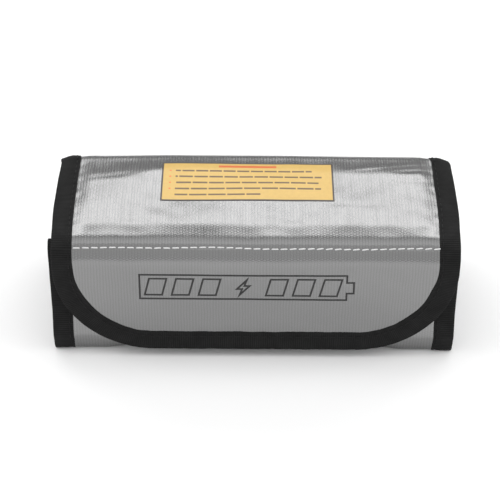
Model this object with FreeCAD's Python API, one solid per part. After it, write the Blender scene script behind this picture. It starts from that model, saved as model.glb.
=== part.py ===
"""A fire-resistant pouch for charging and storing model batteries, sewn from silver glass cloth.

The pouch is a box with an open top. One wrap of cloth makes its front, bottom and back, and two end
panels close it. A lid panel folds up from the back, and a flap folds down from the lid's front edge over
the front of the pouch, where hook tape on the flap grips loop tape on the front. Every wall is a
sandwich: silver cloth outside, glass felt in the middle and a thin cloth lining inside. Every raw edge
is bound with black tape, and the felt stops short of the bound edges, so that they are thinner.

Millimetres. X runs along the pouch, -Y is the front and +Z is up. The origin is the middle of the base.
Each wall follows a path in the Y-Z plane, and a layer of it is the band between two depths below the
outer surface, extruded along X.
"""

import FreeCAD
import Part
import math
import os

# Overall size
LENGTH = 185.0
DEPTH = 78.0
HEIGHT = 63.0

# Depths of the layers below the outer surface
TAPE = 0.4
CLOTH = 0.8
FELT = 1.2
LINING = 0.4
FELT_TOP = CLOTH
FELT_FOOT = CLOTH + FELT
WALL = CLOTH + FELT + LINING
EDGE_LINING = CLOTH + LINING
EDGE_WALL = EDGE_LINING + TAPE

# Bound edges
BINDING = 9.5
MOUTH_BINDING = 8.0

# The pouch
BASE_RADIUS = 4.0
BACK_RADIUS = 9.0
CLOSURE_GAP = 2.9
POUCH_FRONT = -DEPTH / 2 + WALL + CLOSURE_GAP
POUCH_BACK = DEPTH / 2
FRONT_MOUTH_Z = HEIGHT - 5.5
END_MOUTH_Z = HEIGHT - 3.6
END_CORNER = 4.0
LID_CLEARANCE = 0.6

# The lid and the flap
FRONT_RADIUS = 10.0
FLAP_BOTTOM_Z = 4.4
FLAP_CORNER_RADIUS = 46.0
CREASE_GAP = 0.2
HINGE_LIFT = 0.2

# Hook and loop tape
TAPE_BASE = 0.5
LOOP_SIZE = (132.0, 25.0)
LOOP_PILE = 0.9
LOOP_MIDDLE_Z = 26.0
HOOK_SIZE = (114.0, 20.0)
HOOK_PILE = 0.7
SELVEDGE = 2.0

# The label on the lid
LABEL_SIZE = (80.0, 30.0)
LABEL_MIDDLE = (-4.0, 12.5)
LABEL_THICKNESS = 0.2

# Stitching
THREAD_RADIUS = 0.25
STITCH = 2.8
STITCH_PITCH = 4.1
STITCH_LIFT = 0.05
THREAD_HEIGHT = THREAD_RADIUS + STITCH_LIFT
SEAM_INSET = BINDING - 1.6
CREASE_ROW_ANGLE = 7.0

HALF = LENGTH / 2
FIELD = HALF - BINDING
END_OUTSIDE = FIELD
END_INSIDE = FIELD - WALL

# Centres of the rounded edges, as (y, z)
BASE_FRONT = (POUCH_FRONT + BASE_RADIUS, BASE_RADIUS)
BASE_BACK = (POUCH_BACK - BASE_RADIUS, BASE_RADIUS)
TOP_BACK = (POUCH_BACK - BACK_RADIUS, HEIGHT - BACK_RADIUS)
TOP_FRONT = (-DEPTH / 2 + FRONT_RADIUS, HEIGHT - FRONT_RADIUS)
CREASE_ANGLE = 45.0


def vector(x, y, z):
    return FreeCAD.Vector(x, y, z)


def around(centre, radius, degrees):
    """The point at an angle round a centre in the Y-Z plane, counted from +Y towards +Z."""
    angle = math.radians(degrees)
    return vector(0, centre[0] + radius * math.cos(angle), centre[1] + radius * math.sin(angle))


def line(a, b):
    return Part.LineSegment(a, b).toShape()


def arc(centre, radius, start, end):
    middle = around(centre, radius, (start + end) / 2)
    return Part.Arc(around(centre, radius, start), middle, around(centre, radius, end)).toShape()


def gap_angle(radius):
    """The angle that the crease gap takes up at a radius."""
    return math.degrees(CREASE_GAP / radius)


def pouch_path(depth):
    """From the front mouth down, along the base and up the back to the lid's crease."""
    front, back = POUCH_FRONT + depth, POUCH_BACK - depth
    crease = CREASE_ANGLE - gap_angle(BACK_RADIUS)
    return [
        line(vector(0, front, FRONT_MOUTH_Z), vector(0, front, BASE_FRONT[1])),
        arc(BASE_FRONT, BASE_RADIUS - depth, 180, 270),
        line(vector(0, BASE_FRONT[0], depth), vector(0, BASE_BACK[0], depth)),
        arc(BASE_BACK, BASE_RADIUS - depth, 270, 360),
        line(vector(0, back, BASE_BACK[1]), vector(0, back, TOP_BACK[1])),
        arc(TOP_BACK, BACK_RADIUS - depth, 0, crease),
    ]


def lid_path(depth):
    """From the lid's crease over the top to the flap's crease."""
    start = CREASE_ANGLE + gap_angle(BACK_RADIUS)
    end = 180 - CREASE_ANGLE - gap_angle(FRONT_RADIUS)
    top = HEIGHT - depth
    return [
        arc(TOP_BACK, BACK_RADIUS - depth, start, 90),
        line(vector(0, TOP_BACK[0], top), vector(0, TOP_FRONT[0], top)),
        arc(TOP_FRONT, FRONT_RADIUS - depth, 90, end),
    ]


def flap_path(depth):
    """From the flap's crease down the front."""
    start = 180 - CREASE_ANGLE + gap_angle(FRONT_RADIUS)
    front = -DEPTH / 2 + depth
    return [
        arc(TOP_FRONT, FRONT_RADIUS - depth, start, 180),
        line(vector(0, front, TOP_FRONT[1]), vector(0, front, FLAP_BOTTOM_Z)),
    ]


def first_point(edges):
    return edges[0].valueAt(edges[0].FirstParameter)


def last_point(edges):
    return edges[-1].valueAt(edges[-1].LastParameter)


def face_of(edges):
    return Part.Face(Part.Wire(Part.__sortEdges__(edges)))


def band(path, outer, inner, x_from, x_to):
    """The layer of a wall between two depths and two places along X."""
    outside, inside = path(outer), path(inner)
    ends = [
        line(first_point(outside), first_point(inside)),
        line(last_point(outside), last_point(inside)),
    ]
    low, high = min(x_from, x_to), max(x_from, x_to)
    face = face_of(outside + inside + ends)
    face.translate(vector(low, 0, 0))
    return face.extrude(vector(high - low, 0, 0))


def box(x_from, x_to, y_from, y_to, z_from, z_to):
    low, high = min(x_from, x_to), max(x_from, x_to)
    return Part.makeBox(high - low, y_to - y_from, z_to - z_from, vector(low, y_from, z_from))


def end_region(depth, x_from, x_to):
    """A plate that fills the pouch's outline, a depth in from its outer surface, below the lid."""
    path = pouch_path(depth)
    crease = CREASE_ANGLE - gap_angle(BACK_RADIUS)
    corners = [
        last_point(path),
        around(TOP_BACK, BACK_RADIUS - WALL - LID_CLEARANCE, crease),
        vector(0, TOP_BACK[0], END_MOUTH_Z),
        vector(0, POUCH_FRONT + depth + END_CORNER, END_MOUTH_Z),
        first_point(path),
    ]
    rim = [line(a, b) for a, b in zip(corners, corners[1:])]
    low, high = min(x_from, x_to), max(x_from, x_to)
    face = face_of(path + rim)
    face.translate(vector(low, 0, 0))
    return face.extrude(vector(high - low, 0, 0))


def pouch_shell():
    """The silver wrap: full thickness between the bindings, half of it under them."""
    field = band(pouch_path, 0, TAPE, -FIELD, FIELD)
    inner = band(pouch_path, TAPE, CLOTH, -HALF + TAPE, HALF - TAPE)
    return field.fuse(inner).removeSplitter()


def end_parts(side):
    """The shell, felt and lining of the end panel on one side, -1 left or 1 right."""
    outside, inside = side * END_OUTSIDE, side * END_INSIDE
    felt_from = side * (FIELD - CLOTH)
    felt_to = side * (FIELD - CLOTH - FELT)
    plate = end_region(CLOTH, outside, felt_from)
    flange = band(pouch_path, CLOTH, EDGE_LINING, outside, side * (HALF - TAPE))
    return {
        "shell": plate.fuse(flange).removeSplitter(),
        "felt": end_region(WALL, felt_from, felt_to),
        "lining": end_region(WALL, felt_to, inside),
    }


def end_binding(side):
    """Black tape folded over the pouch's and the end panel's edges."""
    outer = band(pouch_path, 0, EDGE_WALL, side * FIELD, side * HALF)
    slot = band(pouch_path, TAPE, EDGE_LINING, side * FIELD, side * (HALF - TAPE))
    return outer.cut(slot)


def front_mouth_binding():
    """Black tape folded over the top edge of the pouch's front."""
    inner_face = POUCH_FRONT + WALL
    foot = FRONT_MOUTH_Z - MOUTH_BINDING
    x = FIELD - WALL - TAPE
    outer = box(-x, x, POUCH_FRONT - TAPE, inner_face + TAPE, foot, FRONT_MOUTH_Z + TAPE)
    return outer.cut(box(-x, x, POUCH_FRONT, inner_face, foot, FRONT_MOUTH_Z))


def end_mouth_binding(side):
    """Black tape folded over the top edge of an end panel."""
    front, back = POUCH_FRONT + WALL + END_CORNER, TOP_BACK[0]
    foot = END_MOUTH_Z - MOUTH_BINDING
    tape = side * TAPE
    outside, inside = side * END_OUTSIDE, side * END_INSIDE
    outer = box(outside + tape, inside - tape, front, back, foot, END_MOUTH_Z + TAPE)
    return outer.cut(box(outside, inside, front, back, foot, END_MOUTH_Z))


def lid_layer(outer, inner, inset):
    return band(lid_path, outer, inner, -HALF + inset, HALF - inset)


def flap_outline(inset):
    """A prism along Y with the flap's outline, drawn in from its edge."""
    x, foot = HALF - inset, FLAP_BOTTOM_Z + inset
    radius = FLAP_CORNER_RADIUS - inset
    top = HEIGHT + FRONT_RADIUS
    turn = radius * math.sqrt(0.5)
    corner_x, corner_z = x - radius, foot + radius
    edges = [
        line(vector(-x, 0, top), vector(-x, 0, corner_z)),
        Part.Arc(
            vector(-x, 0, corner_z),
            vector(-corner_x - turn, 0, corner_z - turn),
            vector(-corner_x, 0, foot),
        ).toShape(),
        line(vector(-corner_x, 0, foot), vector(corner_x, 0, foot)),
        Part.Arc(
            vector(corner_x, 0, foot),
            vector(corner_x + turn, 0, corner_z - turn),
            vector(x, 0, corner_z),
        ).toShape(),
        line(vector(x, 0, corner_z), vector(x, 0, top)),
        line(vector(x, 0, top), vector(-x, 0, top)),
    ]
    face = face_of(edges)
    face.translate(vector(0, -DEPTH, 0))
    return face.extrude(vector(0, DEPTH, 0))


def flap_layer(outer, inner, inset):
    return band(flap_path, outer, inner, -HALF, HALF).common(flap_outline(inset))


def panel_parts(layer):
    """The shell, felt, lining and whole edge tape of the lid or the flap, from its layer function."""
    felt_inset = BINDING + LINING
    shell = layer(0, TAPE, BINDING).fuse(layer(TAPE, CLOTH, TAPE))
    lining = layer(CLOTH, EDGE_LINING, TAPE).fuse(layer(CLOTH, WALL, BINDING))
    tape = layer(0, EDGE_WALL, 0).cut(layer(0, EDGE_WALL, BINDING)).cut(layer(TAPE, EDGE_LINING, TAPE))
    return {
        "shell": shell.removeSplitter(),
        "felt": layer(FELT_TOP, FELT_FOOT, felt_inset),
        "lining": lining.cut(layer(FELT_TOP, FELT_FOOT, felt_inset)).removeSplitter(),
        "tape": tape,
    }


def one_side(shape, side):
    """The part of a shape on one side of the middle."""
    return shape.common(box(0, side * LENGTH, -DEPTH, DEPTH, -HEIGHT, 2 * HEIGHT))


def touch_strip(size, pile, face_y, outward, middle_z):
    """Hook or loop tape: a thin woven base with a bare selvedge round its block of pile."""
    width, height = size
    base_y = face_y + outward * TAPE_BASE
    pile_y = base_y + outward * pile
    x, z = width / 2, height / 2
    base = box(-x, x, min(face_y, base_y), max(face_y, base_y), middle_z - z, middle_z + z)
    x, z = x - SELVEDGE, z - SELVEDGE
    block = box(-x, x, min(base_y, pile_y), max(base_y, pile_y), middle_z - z, middle_z + z)
    return base.fuse(block).removeSplitter()


def label():
    width, height = LABEL_SIZE
    x, y = LABEL_MIDDLE
    low, high = y - height / 2, y + height / 2
    return box(x - width / 2, x + width / 2, low, high, HEIGHT, HEIGHT + LABEL_THICKNESS)


def stitch(middle, along):
    start = middle - along * (STITCH / 2)
    return Part.makeCylinder(THREAD_RADIUS, STITCH, start, along)


def straight_row(start, end):
    """Stitches evenly spaced between two points, as a list of solids."""
    span = end - start
    count = max(1, round(span.Length / STITCH_PITCH))
    along = FreeCAD.Vector(span).normalize()
    return [stitch(start + span * ((i + 0.5) / count), along) for i in range(count)]


def arc_row(centre_x, centre_z, radius, y, start, end):
    """Stitches round an arc in an X-Z plane, between two angles in degrees from +X towards +Z."""
    length = radius * math.radians(end - start)
    count = max(1, round(length / STITCH_PITCH))
    row = []
    for i in range(count):
        angle = math.radians(start + (end - start) * (i + 0.5) / count)
        middle = vector(centre_x + radius * math.cos(angle), y, centre_z + radius * math.sin(angle))
        row.append(stitch(middle, vector(-math.sin(angle), 0, math.cos(angle))))
    return row


def frame_rows(size, y, middle_z):
    """Stitches round a rectangle in an X-Z plane."""
    x, z = size[0] / 2, size[1] / 2
    low, high = middle_z - z, middle_z + z
    corners = [vector(-x, y, low), vector(x, y, low), vector(x, y, high), vector(-x, y, high)]
    rows = []
    for i, corner in enumerate(corners):
        rows += straight_row(corner, corners[(i + 1) % len(corners)])
    return Part.makeCompound(rows)


def end_stitching(side):
    """The end seam's stitches: outside on the front and back, and inside on all three edges."""
    x = side * (HALF - SEAM_INSET)
    outer_front = POUCH_FRONT - THREAD_HEIGHT
    outer_back = POUCH_BACK + THREAD_HEIGHT
    inner = EDGE_WALL + THREAD_HEIGHT
    foot, front_top, back_top = BASE_RADIUS, FRONT_MOUTH_Z, TOP_BACK[1]
    rows = straight_row(vector(x, outer_front, foot), vector(x, outer_front, front_top))
    rows += straight_row(vector(x, outer_back, foot), vector(x, outer_back, back_top))
    rows += straight_row(vector(x, POUCH_FRONT + inner, foot), vector(x, POUCH_FRONT + inner, front_top))
    rows += straight_row(vector(x, POUCH_BACK - inner, foot), vector(x, POUCH_BACK - inner, back_top))
    rows += straight_row(vector(x, BASE_FRONT[0], inner), vector(x, BASE_BACK[0], inner))
    return Part.makeCompound(rows)


def front_mouth_stitching():
    x = FIELD - STITCH_PITCH
    y = POUCH_FRONT - TAPE - THREAD_HEIGHT
    z = FRONT_MOUTH_Z - MOUTH_BINDING + HALF - SEAM_INSET - FIELD
    return Part.makeCompound(straight_row(vector(-x, y, z), vector(x, y, z)))


def lid_stitching(side):
    x = side * (HALF - SEAM_INSET)
    z = HEIGHT + THREAD_HEIGHT
    return Part.makeCompound(straight_row(vector(x, TOP_FRONT[0], z), vector(x, TOP_BACK[0], z)))


def crease_stitching():
    """White topstitching through the whole wall, just on the lid's side of the flap's crease."""
    angle = 180 - CREASE_ANGLE - CREASE_ROW_ANGLE
    place = around(TOP_FRONT, FRONT_RADIUS + THREAD_HEIGHT, angle)
    x = FIELD - STITCH_LIFT
    return Part.makeCompound(straight_row(vector(-x, place.y, place.z), vector(x, place.y, place.z)))


def flap_stitching():
    """The row along the inner edge of the flap's binding."""
    y = -DEPTH / 2 - THREAD_HEIGHT
    x, foot = HALF - SEAM_INSET, FLAP_BOTTOM_Z + SEAM_INSET
    radius = FLAP_CORNER_RADIUS - SEAM_INSET
    corner_x, corner_z = x - radius, foot + radius
    rows = straight_row(vector(-corner_x, y, foot), vector(corner_x, y, foot))
    rows += arc_row(corner_x, corner_z, radius, y, -90, 0)
    rows += arc_row(-corner_x, corner_z, radius, y, 180, 270)
    return Part.makeCompound(rows)


def build():
    """Every sub-part by name."""
    wall_felt = band(pouch_path, FELT_TOP, FELT_FOOT, -FIELD + CLOTH, FIELD - CLOTH)
    wall_lining = band(pouch_path, FELT_FOOT, WALL, -FIELD + CLOTH, FIELD - CLOTH)
    parts = {
        "pouch_shell": pouch_shell(),
        "pouch_felt": wall_felt,
        "pouch_lining": wall_lining,
        "front_mouth_binding": front_mouth_binding(),
        "front_mouth_stitching": front_mouth_stitching(),
    }
    for name, side in (("left", -1), ("right", 1)):
        for layer, shape in end_parts(side).items():
            parts[f"{name}_end_{layer}"] = shape
        parts[f"{name}_end_binding"] = end_binding(side)
        parts[f"{name}_end_stitching"] = end_stitching(side)
        parts[f"{name}_mouth_binding"] = end_mouth_binding(side)
        parts[f"lid_{name}_stitching"] = lid_stitching(side)
    lid, flap = panel_parts(lid_layer), panel_parts(flap_layer)
    for layer in ("shell", "felt", "lining"):
        parts[f"lid_{layer}"] = lid[layer]
        parts[f"flap_{layer}"] = flap[layer]
    parts["lid_left_binding"] = one_side(lid["tape"], -1)
    parts["lid_right_binding"] = one_side(lid["tape"], 1)
    parts["flap_binding"] = flap["tape"]
    parts["crease_stitching"] = crease_stitching()
    parts["flap_stitching"] = flap_stitching()
    parts["label"] = label()
    flap_inside = -DEPTH / 2 + WALL
    seam = SELVEDGE
    loop_frame = (LOOP_SIZE[0] - seam, LOOP_SIZE[1] - seam)
    hook_frame = (HOOK_SIZE[0] - seam, HOOK_SIZE[1] - seam)
    loop_thread_y = POUCH_FRONT - TAPE_BASE - THREAD_HEIGHT
    hook_thread_y = flap_inside + TAPE_BASE + THREAD_HEIGHT
    parts["loop_strip"] = touch_strip(LOOP_SIZE, LOOP_PILE, POUCH_FRONT, -1, LOOP_MIDDLE_Z)
    parts["hook_strip"] = touch_strip(HOOK_SIZE, HOOK_PILE, flap_inside, 1, LOOP_MIDDLE_Z)
    parts["loop_stitching"] = frame_rows(loop_frame, loop_thread_y, LOOP_MIDDLE_Z)
    parts["hook_stitching"] = frame_rows(hook_frame, hook_thread_y, LOOP_MIDDLE_Z)
    return parts


def main():
    os.makedirs("parts", exist_ok=True)
    for name, shape in build().items():
        if not shape.isValid():
            print("not valid:", name)
        shape.exportStep(f"parts/{name}.step")
        print(f"{name}: {len(shape.Solids)} solids, {shape.Volume:.1f} mm3")
    for name, centre, radius, angle in (
        ("lid hinge", TOP_BACK, BACK_RADIUS, CREASE_ANGLE),
        ("flap hinge", TOP_FRONT, FRONT_RADIUS, 180 - CREASE_ANGLE),
    ):
        place = around(centre, radius + HINGE_LIFT, angle)
        print(f"{name}: y {place.y:.3f}, z {place.z:.3f}")


main()
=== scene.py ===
"""The looks of a silver battery pouch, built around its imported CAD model.

The front, base, back, lid and flap of the pouch are one long strip of padded wall, folded round. A place on
it is given by x, along the pouch, and s, the length along the strip from the mouth of the front. wall(x, s,
depth) turns that into a point in space, so cloth, felt, lining, tape, stitches, label and print are all laid
on the same swollen and creased surface. The end panels have a map of their own. Everything is in metres.
"""

import math

import bmesh
import bpy
import numpy as np
from mathutils import Matrix, Vector


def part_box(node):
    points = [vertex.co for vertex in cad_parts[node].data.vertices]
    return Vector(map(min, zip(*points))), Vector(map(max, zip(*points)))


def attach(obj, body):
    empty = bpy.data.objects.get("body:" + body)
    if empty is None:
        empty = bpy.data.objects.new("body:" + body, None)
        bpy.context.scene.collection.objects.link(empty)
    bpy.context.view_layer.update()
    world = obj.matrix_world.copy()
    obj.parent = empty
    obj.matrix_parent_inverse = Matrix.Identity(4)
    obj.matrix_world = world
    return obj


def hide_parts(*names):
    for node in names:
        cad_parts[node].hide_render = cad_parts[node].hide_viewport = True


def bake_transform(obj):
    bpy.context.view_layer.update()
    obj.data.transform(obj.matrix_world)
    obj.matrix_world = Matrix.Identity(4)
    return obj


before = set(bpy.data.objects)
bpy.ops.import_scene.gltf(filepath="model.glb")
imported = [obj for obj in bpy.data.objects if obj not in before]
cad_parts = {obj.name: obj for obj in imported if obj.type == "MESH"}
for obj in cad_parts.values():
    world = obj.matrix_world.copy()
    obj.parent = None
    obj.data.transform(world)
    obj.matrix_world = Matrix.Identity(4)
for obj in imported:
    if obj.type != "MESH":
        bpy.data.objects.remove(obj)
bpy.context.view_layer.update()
MM = 0.001

# Sizes from the CAD model
FLAP_LOW, FLAP_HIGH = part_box("flap_binding")
SHELL_LOW, SHELL_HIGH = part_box("pouch_shell")
HALF = FLAP_HIGH.x
FRONT = SHELL_LOW.y
BACK = SHELL_HIGH.y
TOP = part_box("lid_shell")[1].z
FLAP_FRONT = FLAP_LOW.y
FLAP_FOOT = FLAP_LOW.z
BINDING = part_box("left_end_binding")[1].x + HALF
FIELD = HALF - BINDING
TAPE_THICK = 0.4 * MM
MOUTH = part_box("front_mouth_binding")[1].z - TAPE_THICK
END_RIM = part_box("left_mouth_binding")[1].z - TAPE_THICK
MOUTH_BINDING = MOUTH + TAPE_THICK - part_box("front_mouth_binding")[0].z

# Corner radii
BASE_RADIUS = 4 * MM
BACK_RADIUS = 9 * MM
FRONT_RADIUS = 10 * MM
FLAP_CORNER = 46 * MM

# Layers of a wall, as depths below its outer surface
CLOTH = 0.8 * MM
FELT = 1.2 * MM
LINING = 0.4 * MM
WALL = CLOTH + FELT + LINING
FELT_EDGE = 0.4 * MM
EDGE_INSET = 0.5 * MM
END_CLOTH = 0.4 * MM
END_BEND = 0.6 * MM

# Detail
STEP = 1.0 * MM
TAPE_STEP = 0.8 * MM
THREAD = 0.23 * MM
STITCH_PITCH = 4.1 * MM
STITCH = 3.0 * MM
SEAM_EDGE = 1.6 * MM
SEAM_INSET = BINDING - SEAM_EDGE
OUTER_SEAM = dict(base=-0.15 * MM, radius=0.22 * MM)
FLOOR_CLEARANCE = 0.02 * MM
EDGE_COVER = 1.0 * MM
FIN_TOP = 5.2 * MM
FIN_CURL_START = 55.6 * MM
FIN_CURL_RADIUS = 5.0 * MM
TAPE_BASE = 0.5 * MM
SELVEDGE = 2 * MM
FLAP_NARROWER = 0.013
LID_SHIFT = 0.7 * MM
LABEL_SHIFT = 2.2 * MM
RIDGE_HEIGHT = 10 * MM


# -------- the strip


def smooth(low, high, value):
    """0 below low, 1 above high, and an even ramp between."""
    t = np.clip((value - low) / (high - low), 0, 1)
    return t * t * (3 - 2 * t)


def bump(value, middle, width):
    return np.exp(-(((value - middle) / width) ** 2))


def run(start, end):
    """Points along a straight run in the Y-Z plane."""
    count = max(2, int(math.dist(start, end) / (0.25 * MM)))
    t = np.linspace(0, 1, count)[:, None]
    return np.array(start) * (1 - t) + np.array(end) * t


def turn(centre, radius, start, end):
    """Points round an arc, its angles in degrees from +Y towards +Z."""
    count = int(radius * math.radians(abs(end - start)) / (0.25 * MM)) + 2
    angle = np.radians(np.linspace(start, end, count))
    return np.stack([centre[0] + radius * np.cos(angle), centre[1] + radius * np.sin(angle)], 1)


def strip_path():
    """The strip's outer line, as points, and the length at the end of each of its runs and turns."""
    top_back = (BACK - BACK_RADIUS, TOP - BACK_RADIUS)
    top_front = (FLAP_FRONT + FRONT_RADIUS, TOP - FRONT_RADIUS)
    base_front = (FRONT + BASE_RADIUS, BASE_RADIUS)
    base_back = (BACK - BASE_RADIUS, BASE_RADIUS)
    parts = [
        run((FRONT, MOUTH), (FRONT, BASE_RADIUS)),
        turn(base_front, BASE_RADIUS, 180, 270),
        run((base_front[0], 0), (base_back[0], 0)),
        turn(base_back, BASE_RADIUS, 270, 360),
        run((BACK, BASE_RADIUS), (BACK, top_back[1])),
        turn(top_back, BACK_RADIUS, 0, 90),
        run((top_back[0], TOP), (top_front[0], TOP)),
        turn(top_front, FRONT_RADIUS, 90, 180),
        run((FLAP_FRONT, top_front[1]), (FLAP_FRONT, FLAP_FOOT)),
    ]
    points, ends, length = [parts[0][0]], [], 0.0
    lengths = [0.0]
    for part in parts:
        for a, b in zip(part, part[1:]):
            length += math.dist(a, b)
            points.append(b)
            lengths.append(length)
        ends.append(length)
    return np.array(points), np.array(lengths), ends


PATH, PATH_LENGTH, ENDS = strip_path()
(S_FRONT, S_BASE, S_BASE_END, S_BACK, S_BACK_TOP, S_LID, S_LID_END, S_FLAP, S_FOOT) = ENDS
S_HINGE = (S_BACK_TOP + S_LID) / 2
S_CREASE = (S_LID_END + S_FLAP) / 2
S_SPLIT = S_BACK_TOP + 2.5 * MM
S_RIDGE = S_LID + 10 * MM
S_CORNER = S_FOOT - FLAP_CORNER


def path_frame(s):
    """The path's points and outward normals at lengths s, carried straight on past its ends."""
    tangent = np.gradient(PATH, PATH_LENGTH, axis=0)
    tangent /= np.linalg.norm(tangent, axis=1)[:, None]
    inside = np.clip(s, 0, S_FOOT)
    y, z = (np.interp(inside, PATH_LENGTH, PATH[:, i]) for i in (0, 1))
    ty, tz = (np.interp(inside, PATH_LENGTH, tangent[:, i]) for i in (0, 1))
    y, z = y + (s - inside) * ty, z + (s - inside) * tz
    size = np.hypot(ty, tz)
    return y, z, tz / size, -ty / size


def ripples(x, s, across, along, seed, count=7):
    """Smooth unevenness of about 1: waves of about the given lengths, each with its own slant and phase."""
    rng = np.random.default_rng(seed)
    total = 0
    for _ in range(count):
        turns = rng.uniform(0.55, 1.45, 2) * rng.choice((-1, 1), 2)
        phase = rng.uniform(0, math.tau)
        total = total + np.sin(math.tau * (x * turns[0] / across + s * turns[1] / along) + phase)
    return total / math.sqrt(count)


def crease_line(x, s, start, end, width, height):
    """A soft ridge between two places on the strip, dying away at both of its ends."""
    (x0, s0), (x1, s1) = start, end
    long = math.hypot(x1 - x0, s1 - s0)
    ux, us = (x1 - x0) / long, (s1 - s0) / long
    along = ((x - x0) * ux + (s - s0) * us) / long
    off = -(x - x0) * us + (s - s0) * ux
    fade = smooth(0, 0.35, along) * (1 - smooth(0.65, 1, along))
    return height * fade * bump(off, 0, width)


def edge_distance(x, s):
    """How far a place on the strip is from the bound edge."""
    side = HALF - np.abs(x)
    foot = S_FOOT - s
    round_x, round_s = np.abs(x) - (HALF - FLAP_CORNER), s - S_CORNER
    corner = FLAP_CORNER - np.hypot(np.maximum(round_x, 0), np.maximum(round_s, 0))
    in_flap = s > S_CORNER
    return np.where(in_flap, np.minimum(np.minimum(side, foot), corner), side)


def swell(x, s):
    """How far the padded wall stands out from its plain shape."""
    edge = edge_distance(x, s)
    inner = smooth(BINDING - 1 * MM, BINDING + 7 * MM, edge)
    sides = np.abs(x) / HALF
    on_lid = smooth(S_HINGE, S_LID, s) * (1 - smooth(S_LID_END, S_CREASE, s))
    on_flap = smooth(S_CREASE, S_FLAP + 4 * MM, s)
    on_front = 1 - smooth(S_FRONT, S_BASE, s)
    on_back = smooth(S_BACK, S_BACK + 15 * MM, s)
    on_back = on_back * (1 - smooth(S_BACK_TOP - 18 * MM, S_BACK_TOP - 3 * MM, s))
    out = crown(x, s) * inner * (1 - 0.3 * sides**4)
    out += 0.9 * MM * on_back * inner * (1 - sides**2)
    out += 0.15 * MM * (on_lid + on_flap) * inner * ripples(x, s, 80 * MM, 44 * MM, 3)
    out += 0.03 * MM * (on_lid + on_flap) * inner * ripples(x, s, 22 * MM, 16 * MM, 5)
    out += 0.20 * MM * (on_back + 0.5 * on_front) * inner * ripples(x, s, 55 * MM, 30 * MM, 8)
    # the outer corners of the lid's bindings droop
    out -= 2.4 * MM * smooth(HALF - 6.5 * MM, HALF + 2 * MM, np.abs(x)) * bump(s, S_LID - 1 * MM, 13 * MM)
    out += front_ridge(x, s)
    # cloth pulled in along the bindings
    pucker = 0.5 + 0.5 * ripples(x, s, 13 * MM, 9 * MM, 21)
    out -= 0.15 * MM * bump(edge, BINDING, 2.2 * MM) * pucker
    return out + folds(x, s) * inner - crease_groove(x, s)


def crown(x, s):
    """The lid's rise between its bindings: up from the front to a soft ridge, then down to the back edge.

    The ridge lies further forward towards both ends.
    """
    left, right = smooth(-38 * MM, -72 * MM, x), smooth(12 * MM, 45 * MM, x)
    ridge = S_RIDGE + 8 * MM * left + 3 * MM * right
    front = 0.9 * MM * (1 - smooth(S_LID_END - 8 * MM, S_LID_END + 3 * MM, s))
    rise = 1.1 * MM * np.clip((S_LID_END - 4 * MM - s) / (S_LID_END - 4 * MM - ridge), 0, 1)
    fall = (1.2 + 0.5 * left + 0.2 * right) * MM * (1 - smooth(S_LID - 1 * MM, ridge + 1 * MM, s))
    return (front + rise - fall) * smooth(S_BACK_TOP - 1 * MM, S_LID - 5 * MM, s)


def front_ridge(x, s):
    """Near its ends the front leans out down to a low ridge, and back in below it."""
    ridge = MOUTH - RIDGE_HEIGHT
    above = np.maximum((ridge - s) / (12 * MM), 0)
    lean = np.maximum(1 - np.sqrt(above**2 + 0.003), 0)
    below = 0.5 * np.clip((s - ridge - 0.5 * MM) / (S_FRONT - ridge), 0, 1)
    foot = 1 - smooth(S_FRONT + 2 * MM, S_BASE + 4 * MM, s)
    return 2.9 * MM * smooth(56 * MM, 70 * MM, np.abs(x)) * (lean - below) * foot


def folds(x, s):
    """The few larger creases in the lid's cloth."""
    out = 0
    for x0, s0, x1, s1, width, height in (
        (36, 11, 88, 1, 1.2, 0.22),
        (60, 12, 92, 9, 1.3, -0.2),
        (64, 19, 92, 18, 1.6, -0.12),
        (20, 35, 60, 38, 1.8, -0.08),
        (-88, 19, -52, 13, 2.0, -0.15),
    ):
        start, end = (x0 * MM, S_LID + s0 * MM), (x1 * MM, S_LID + s1 * MM)
        out = out + crease_line(x, s, start, end, width * MM, height * MM)
    return out


def crease_row(x):
    """Where the white topstitching runs, a little unevenly, just on the lid's side of the crease."""
    return S_CREASE - 0.7 * MM + 0.22 * MM * np.sin(x / (16 * MM)) + 0.2 * MM * np.sin(x / (7.3 * MM) + 1)


def crease_groove(x, s):
    """The stitches draw the wall in along their row."""
    tight = 0.75 + 0.25 * np.cos(math.tau * x / STITCH_PITCH)
    ends = smooth(0, 6 * MM, FIELD + 3 * MM - np.abs(x))
    return 0.38 * MM * tight * bump(s, crease_row(x), 1.1 * MM) * ends


def wall(x, s, depth):
    """Points in space for places on the strip, at depths below its outer surface."""
    x, s, depth = np.broadcast_arrays(*(np.asarray(value, float) for value in (x, s, depth)))
    y, z, ny, nz = path_frame(s)
    out = swell(x, s) - depth
    # the end fins stand above the front's mouth, and curl back under the lid
    angle = np.maximum(MOUTH - FIN_CURL_START - s, 0) / FIN_CURL_RADIUS
    fin = smooth(FIELD - 2 * MM, FIELD + 1 * MM, np.abs(x)) * (angle > 0)
    y = y + fin * (FRONT + FIN_CURL_RADIUS * (1 - np.cos(angle)) - y)
    z = z + fin * (FIN_CURL_START + FIN_CURL_RADIUS * np.sin(angle) - z)
    ny, nz = ny + fin * (-np.cos(angle) - ny), nz + fin * (np.sin(angle) - nz)
    # the lid sits a little to the right, and the flap is a little narrower
    narrower = 1 - FLAP_NARROWER * smooth(S_LID_END - 22 * MM, S_CREASE, s)
    x = x * narrower + LID_SHIFT * smooth(S_HINGE, S_LID, s)
    return np.stack([x, y + ny * out, np.maximum(z + nz * out, FLOOR_CLEARANCE)], -1)


# -------- meshes


def placed(name, data):
    """A new object in the scene."""
    obj = bpy.data.objects.new(name, data)
    bpy.context.scene.collection.objects.link(obj)
    return obj


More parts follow.
